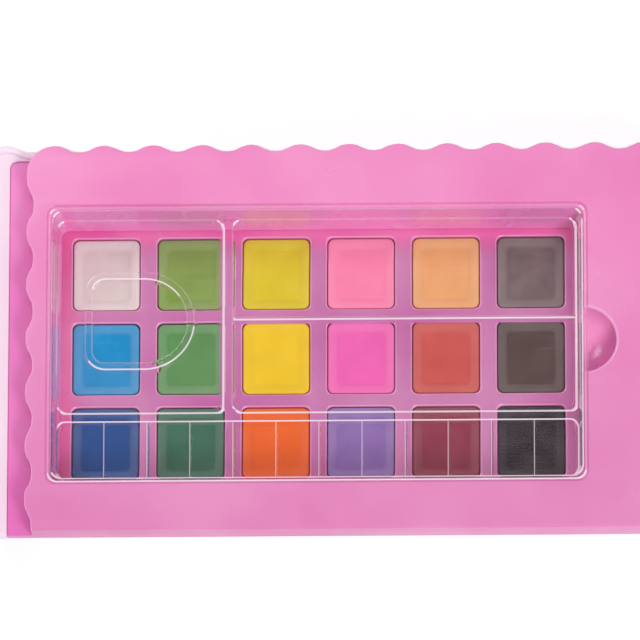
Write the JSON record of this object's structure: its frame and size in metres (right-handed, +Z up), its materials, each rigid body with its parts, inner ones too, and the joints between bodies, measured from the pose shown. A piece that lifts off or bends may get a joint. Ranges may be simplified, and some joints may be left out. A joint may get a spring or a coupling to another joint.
{
  "type": "watercolour paint case",
  "caption": "Open scalloped plastic watercolour case: rows of square paint cakes under a clear lift-out mixing palette with a thumb hole, with a deep hinged lid and a clasp.",
  "frame": {"origin": "the centre of the case's underside, on the table, midway between the mean edges of its flange; the open lid is not counted", "axes": "+X to the right along the case's length, away from the hinges; +Y away from the painter, to the long scalloped edge opposite the straight one; +Z up"},
  "size_m": [0.3859, 0.1033, 0.021],
  "materials": {
    "frosted_shell": "frosted, milky pink",
    "pink_sheet": "smooth formed sheet",
    "purple_pink_tray": "smooth",
    "clear_plastic": "clear, polished",
    "steel_pin": "bright wire",
    "paint_navy": "dry pressed paint",
    "paint_dark_green": "dry pressed paint",
    "paint_orange": "dry pressed paint",
    "paint_purple": "dry pressed paint",
    "paint_maroon": "dry pressed paint",
    "paint_black": "dry pressed paint",
    "paint_sky_blue": "dry pressed paint",
    "paint_green": "dry pressed paint",
    "paint_yellow": "dry pressed paint",
    "paint_magenta": "dry pressed paint",
    "paint_terracotta": "dry pressed paint",
    "paint_umber": "dry pressed paint",
    "paint_white": "dry pressed paint",
    "paint_olive": "dry pressed paint",
    "paint_ochre": "dry pressed paint",
    "paint_pink": "dry pressed paint",
    "paint_peach": "dry pressed paint",
    "paint_taupe": "dry pressed paint"
  },
  "bodies": {
    "case": {"case_base": "frosted_shell", "insert_panel": "pink_sheet", "pan_tray": "purple_pink_tray", "cake_navy": "paint_navy", "cake_dark_green": "paint_dark_green", "cake_orange": "paint_orange", "cake_purple": "paint_purple", "cake_maroon": "paint_maroon", "cake_black": "paint_black", "cake_sky_blue": "paint_sky_blue", "cake_green": "paint_green", "cake_yellow": "paint_yellow", "cake_magenta": "paint_magenta", "cake_terracotta": "paint_terracotta", "cake_umber": "paint_umber", "cake_white": "paint_white", "cake_olive": "paint_olive", "cake_ochre": "paint_ochre", "cake_pink": "paint_pink", "cake_peach": "paint_peach", "cake_taupe": "paint_taupe", "hinge_pin_far": "steel_pin", "hinge_pin_near": "steel_pin", "clasp_pin": "steel_pin"},
    "palette": {"palette": "clear_plastic"},
    "lid": {"lid": "frosted_shell"},
    "clasp": {"clasp": "frosted_shell"}
  },
  "joints": [
    {"name": "lid_hinge", "type": "hinge", "parent": "case", "child": "lid", "pos_m": [-0.0969, 0, 0.01675], "axis": [0, 1, 0], "range_deg": [0, 180]},
    {"name": "palette_lift", "type": "slide", "parent": "case", "child": "palette", "axis": [0, 0, 1], "range_m": [0, 0.01]},
    {"name": "clasp_swing", "type": "hinge", "parent": "case", "child": "clasp", "pos_m": [0.0958, -0.00057, 0.0142], "axis": [0, -1, 0], "range_deg": [0, 180]}
  ]
}
